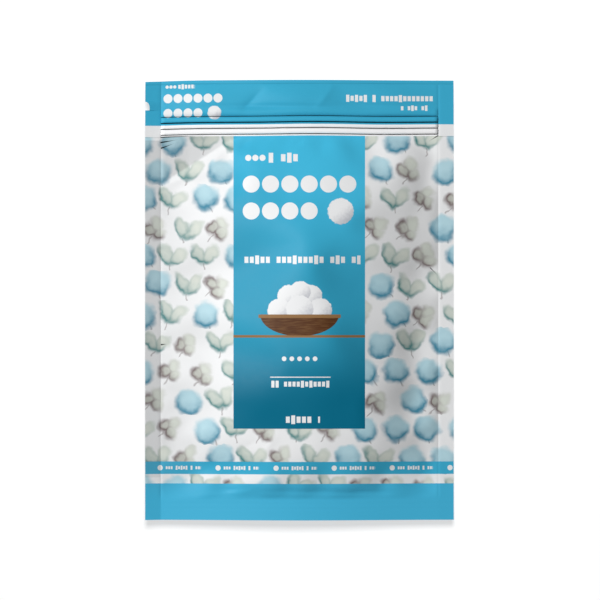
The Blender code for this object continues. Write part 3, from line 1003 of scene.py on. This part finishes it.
def make_print_group():
    """The whole print, laid out on the flat film: header, zip band, body, label, strip and foot,
    with painted shade in the creases and on the left side.
    """
    inputs = [("Place", PLACE), ("Label", NUMBER), ("Seal Tint", NUMBER)]
    inputs += [(name, COLOUR) for name in PRINT_COLOURS]
    pen, given, result = new_group("Pouch Print", inputs, [("Color", COLOUR)])
    place, white = given["Place"], given["White"]
    x, y = pen.split(place)
    scatter = pen.group("Scatter Print", {n: given[n] for n in ("Place", *SCATTER_COLOURS)})
    label = pen.group("Label Print", {n: given[n] for n in ("Place", *LABEL_COLOURS)})
    on_label = pen.product(box(pen, place, *LABEL_BOX), given["Label"])
    colour = pen.mix(on_label, scatter["Color"], label["Color"])
    between_seals = band(pen, x, -SEAL_EDGE, SEAL_EDGE)
    zip_colour = pen.mix(between_seals, white, given["Zip White"])
    colour = pen.mix(band(pen, y, *ZIP_BAND), colour, zip_colour)
    header = pen.step(y, ZIP_BAND[1] - 0.2, ZIP_BAND[1] + 0.2)
    strip = band(pen, y, *STRIP)
    foot = pen.step(y, FOOT_EDGE + 0.2, FOOT_EDGE - 0.2)
    colour = pen.mix(either(pen, (header, strip)), colour, given["Teal"])
    # Painted light: the foot takes the lighter copy of the teal
    colour = pen.mix(foot, colour, given["Foot Teal"])

    marks = word_rows(pen, place, HEADER_PUFFS, HEADER_DASHES)
    repeats = pen.math("DIVIDE", pen.math("ADD", x, 95.0), STRIP_REPEAT)
    along = pen.product(pen.math("FRACT", repeats), STRIP_REPEAT)
    strip_place = pen.join(along, pen.minus(y, sum(STRIP) / 2))
    marks.append(disc(pen, strip_place, (4.6, 0.0), 1.7))
    marks.append(dash_row(pen, strip_place, 8.0, 0.0, 23.0, 2.6, 9.0))
    words = pen.product(either(pen, marks), given["Label"])
    colour = pen.mix(words, colour, white)
    puff = shaded_puff(pen, place, colour, *HEADER_BALL, white, given["Puff Shade"])
    colour = pen.mix(given["Label"], colour, puff)

    # Both seals get a slight grey of their own; the left seal, the top left corner and the left
    # flank get more grey as painted shade
    on_seal = pen.step(pen.math("ABSOLUTE", x), SEAL_EDGE - 0.1, SEAL_EDGE + 0.3)
    left_seal = pen.step(x, 0.1 - SEAL_EDGE, -0.3 - SEAL_EDGE)
    grey = pen.math("MULTIPLY_ADD", left_seal, LEFT_SEAL_GREY, given["Seal Tint"])
    grey = pen.product(on_seal, grey, band(pen, y, -115.0, 104.0))
    empty = pen.product(empty_corner(pen, place), CORNER_GREY)
    beside = pen.product(pen.step(x, -50.0, -92.0), band(pen, y, -118.0, 66.0, 12.0))
    grey = either(pen, (grey, empty, pen.product(beside, FLANK_GREY)))
    colour = pen.mix(grey, colour, given["Seal Grey"])
    # Painted shade: near black lines in the zip's creases and in the gaps of small folds
    lines = []
    for crease, half in CREASE_LINES:
        off = pen.math("ABSOLUTE", pen.minus(y, crease))
        lines.append(pen.step(off, half + 0.2, half))
    creases = pen.product(either(pen, lines), between_seals)
    strokes = [stroke(pen, place, *part) for part in CREASE_STROKES]
    creases = pen.product(either(pen, [creases, *strokes]), SHARP_CREASE)
    colour = pen.mix(creases, colour, CREASE_BLACK)
    # Painted shade: faint dark lines along the top seal's crease, the left seal's inner edge and
    # the seal's end at the zip
    top_crease = band(pen, y, 140.15, 140.45)
    weld_side = pen.product(band(pen, x, -90.2, -89.85), pen.step(y, 40.0, 90.0))
    seam_end = pen.product(on_seal, band(pen, y, 105.7, 106.1))
    faint = pen.product(either(pen, [top_crease, weld_side, seam_end]), FAINT_CREASE)
    colour = pen.mix(faint, colour, CREASE_BLACK)
    pen.put(result["Color"], colour)


# The foot weld's ribs: their step, and where they lie, in millimetres
WELD_RIB = 3.2
WELD = (-137.5, -128.0)


def make_surface_group():
    """Fine relief of the film: crinkles all over and the faint ribs of the foot weld, in metres."""
    inputs = [("Place", PLACE), ("Crinkle", NUMBER), ("Weld", NUMBER)]
    outputs = [("Height", NUMBER), ("Roughness", NUMBER)]
    pen, given, result = new_group("Film Surface", inputs, outputs)
    place = given["Place"]
    x, y = pen.split(place)
    broad = pen.noise(place, 0.10, 2.0)[0]
    inputs = {"Vector": place, "Scale": 0.075}
    cells = pen.add("ShaderNodeTexVoronoi", inputs, feature="SMOOTH_F1")
    crinkle = pen.math("ADD", broad, cells.outputs["Distance"])
    height = pen.product(crinkle, given["Crinkle"])
    wave = pen.math("SINE", pen.product(y, 2 * math.pi / WELD_RIB))
    weld = pen.product(wave, band(pen, y, *WELD, 0.6))
    height = pen.math("MULTIPLY_ADD", weld, given["Weld"], height)
    pen.put(result["Height"], height)
    rough = pen.noise(place, 0.35, 3.0)[0]
    pen.put(result["Roughness"], pen.math("MULTIPLY_ADD", rough, 0.12, 0.40))


# How the film shines, how grey both seals look, and how high its crinkles and weld ribs are
FILM_SHINE = 0.09
SEAL_TINT = 0.02
CRINKLE = 0.05 * MM
WELD_RISE = 0.012 * MM


def make_film_material(name, scene, label):
    """Printed satin film."""
    material = bpy.data.materials.new(name)
    material.use_nodes = True
    pen = NodePen(material.node_tree)
    shader = material.node_tree.nodes["Principled BSDF"]
    film_map = pen.add("ShaderNodeUVMap", uv_map="print")
    width, height = (size / MM for size in (scene.pouch_sizes.width, scene.pouch_sizes.height))
    inputs = {"Location": (-width / 2, -height / 2, 0.0), "Scale": (height, height, 1.0)}
    inputs["Vector"] = film_map.outputs[0]
    place = pen.add("ShaderNodeMapping", inputs).outputs[0]
    inputs = {"Place": place, "Label": label, "Seal Tint": SEAL_TINT}
    for colour in PRINT_COLOURS:
        inputs[colour] = getattr(scene.pouch_print, colour.lower().replace(" ", "_"))[:]
    printed = pen.group("Pouch Print", inputs)
    inputs = {"Place": place, "Crinkle": CRINKLE, "Weld": WELD_RISE}
    surface = pen.group("Film Surface", inputs)
    bump = pen.add("ShaderNodeBump", {"Height": surface["Height"], "Distance": 1.0})
    pen.put(shader.inputs["Base Color"], printed["Color"])
    pen.put(shader.inputs["Roughness"], surface["Roughness"])
    pen.put(shader.inputs["Normal"], bump.outputs[0])
    shader.inputs["Specular IOR Level"].default_value = FILM_SHINE
    return material


class OBJECT_OT_pouch_film(bpy.types.Operator):
    """Model the printed film pouch, with its seals, zip, notch and folds"""

    bl_idname = "object.pouch_film"
    bl_label = "Film Pouch"

    def execute(self, context):
        scene = context.scene
        make_scatter_group()
        make_label_group()
        make_print_group()
        make_surface_group()
        film = make_film(scene.pouch_sizes, scene.pouch_cloth)
        film.data.materials.append(make_film_material("front_film", scene, 1.0))
        film.data.materials.append(make_film_material("back_film", scene, 0.0))
        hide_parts(NODE)
        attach(film, "root")
        return {"FINISHED"}


# Where the lamps stand, and the floor's size, depth under the pouch and white
KEY_PLACE = (-1.16, 0.38, 1.70)
FLOOR_LAMP_PLACE = (0.0, 0.6, 1.9)
FLOOR_SIZE = 40
FLOOR_DROP = 0.4 * MM
FLOOR_WHITE = (0.9, 0.9, 0.9, 1.0)


def add_softbox(name, location, size, power, pieces):
    """A large soft lamp that looks at the pouch and lights only the given pieces."""
    data = bpy.data.lights.new(name, "AREA")
    data.shape = "RECTANGLE"
    data.size, data.size_y = size
    data.energy = power
    lamp = bpy.data.objects.new(name, data)
    lamp.location = location
    lamp.rotation_euler = lamp.location.to_track_quat("Z", "Y").to_euler()
    bpy.context.scene.collection.objects.link(lamp)
    lit = bpy.data.collections.new(name + "_lights")
    for piece in pieces:
        lit.objects.link(piece)
    lamp.light_linking.receiver_collection = lit


class OBJECT_OT_pouch_stage(bpy.types.Operator):
    """Set up the plain floor, the soft lights and the camera"""

    bl_idname = "object.pouch_stage"
    bl_label = "Plain Studio"

    def execute(self, context):
        scene = context.scene
        studio = scene.pouch_studio
        film = bpy.data.objects["pouch_film"]
        floor = self.make_floor(studio)
        self.make_world(scene, studio)
        add_softbox("key", KEY_PLACE, (0.8, 0.8), studio.key, [film])
        add_softbox("floor_lamp", FLOOR_LAMP_PLACE, (0.4, 0.5), studio.floor_lamp, [floor])
        data = bpy.data.cameras.new("camera")
        data.lens = studio.lens
        camera = bpy.data.objects.new("camera", data)
        sizes = scene.pouch_sizes
        camera.location = (studio.aside, 0.0, sizes.back_depth + sizes.view_height)
        scene.collection.objects.link(camera)
        scene.camera = camera
        scene.view_settings.view_transform = "Standard"
        return {"FINISHED"}

    def make_floor(self, studio):
        """A white floor that keeps the pouch's shadow."""
        bpy.ops.object.select_all(action="DESELECT")
        bpy.ops.mesh.primitive_plane_add(size=FLOOR_SIZE, location=(0, 0, -FLOOR_DROP))
        floor = bpy.context.object
        floor.name = "floor"
        material = bpy.data.materials.new("floor_white")
        material.use_nodes = True
        pen = NodePen(material.node_tree)
        material.node_tree.nodes.remove(material.node_tree.nodes["Principled BSDF"])
        paint = pen.add("ShaderNodeBsdfDiffuse", {"Color": FLOOR_WHITE})
        glow = pen.add("ShaderNodeEmission", {"Color": (1, 1, 1, 1), "Strength": 1.0})
        amount = pen.product(self.seen(pen), studio.floor)
        inputs = {0: amount, 1: paint.outputs[0], 2: glow.outputs[0]}
        mixed = pen.add("ShaderNodeMixShader", inputs)
        output = material.node_tree.nodes["Material Output"]
        pen.put(output.inputs["Surface"], mixed.outputs[0])
        floor.data.materials.append(material)
        return floor

    def make_world(self, scene, studio):
        """An even light from all sides."""
        world = bpy.data.worlds.new("studio")
        world.use_nodes = True
        back = world.node_tree.nodes["Background"]
        back.inputs["Color"].default_value = (1.0, 1.0, 1.0, 1.0)
        back.inputs["Strength"].default_value = studio.world
        scene.world = world

    def seen(self, pen):
        """1 where the camera looks straight, in a reflection or through glass."""
        rays = pen.add("ShaderNodeLightPath").outputs
        names = ("Is Camera Ray", "Is Glossy Ray", "Is Transmission Ray")
        return either(pen, [rays[name] for name in names])


class VIEW3D_PT_pouch(bpy.types.Panel):
    """Sidebar panel with the pouch's sizes, colours and operators"""

    bl_label = "Zip Pouch"
    bl_category = "Pouch"
    bl_space_type = "VIEW_3D"
    bl_region_type = "UI"

    def draw(self, context):
        layout = self.layout
        for operator in OPERATORS:
            layout.operator(operator.bl_idname)
        for name in GROUPS:
            settings = getattr(context.scene, name)
            for prop in settings.bl_rna.properties:
                if prop.identifier not in ("rna_type", "name"):
                    layout.prop(settings, prop.identifier)


GROUPS = {
    "pouch_sizes": PouchSizes,
    "pouch_cloth": PouchCloth,
    "pouch_print": PouchPrint,
    "pouch_studio": PouchStudio,
}
OPERATORS = (OBJECT_OT_pouch_film, OBJECT_OT_pouch_stage)
CLASSES = (*GROUPS.values(), *OPERATORS, VIEW3D_PT_pouch)


def register():
    """Make the classes known to Blender and give each scene its settings."""
    for one in CLASSES:
        bpy.utils.register_class(one)
    for name, group in GROUPS.items():
        setattr(bpy.types.Scene, name, PointerProperty(type=group))


def unregister():
    """Undo register."""
    for name in GROUPS:
        delattr(bpy.types.Scene, name)
    for one in reversed(CLASSES):
        bpy.utils.unregister_class(one)


def main():
    """Build the pouch and its studio."""
    register()
    bpy.ops.object.pouch_film()
    bpy.ops.object.pouch_stage()


if __name__ == "__main__":
    main()
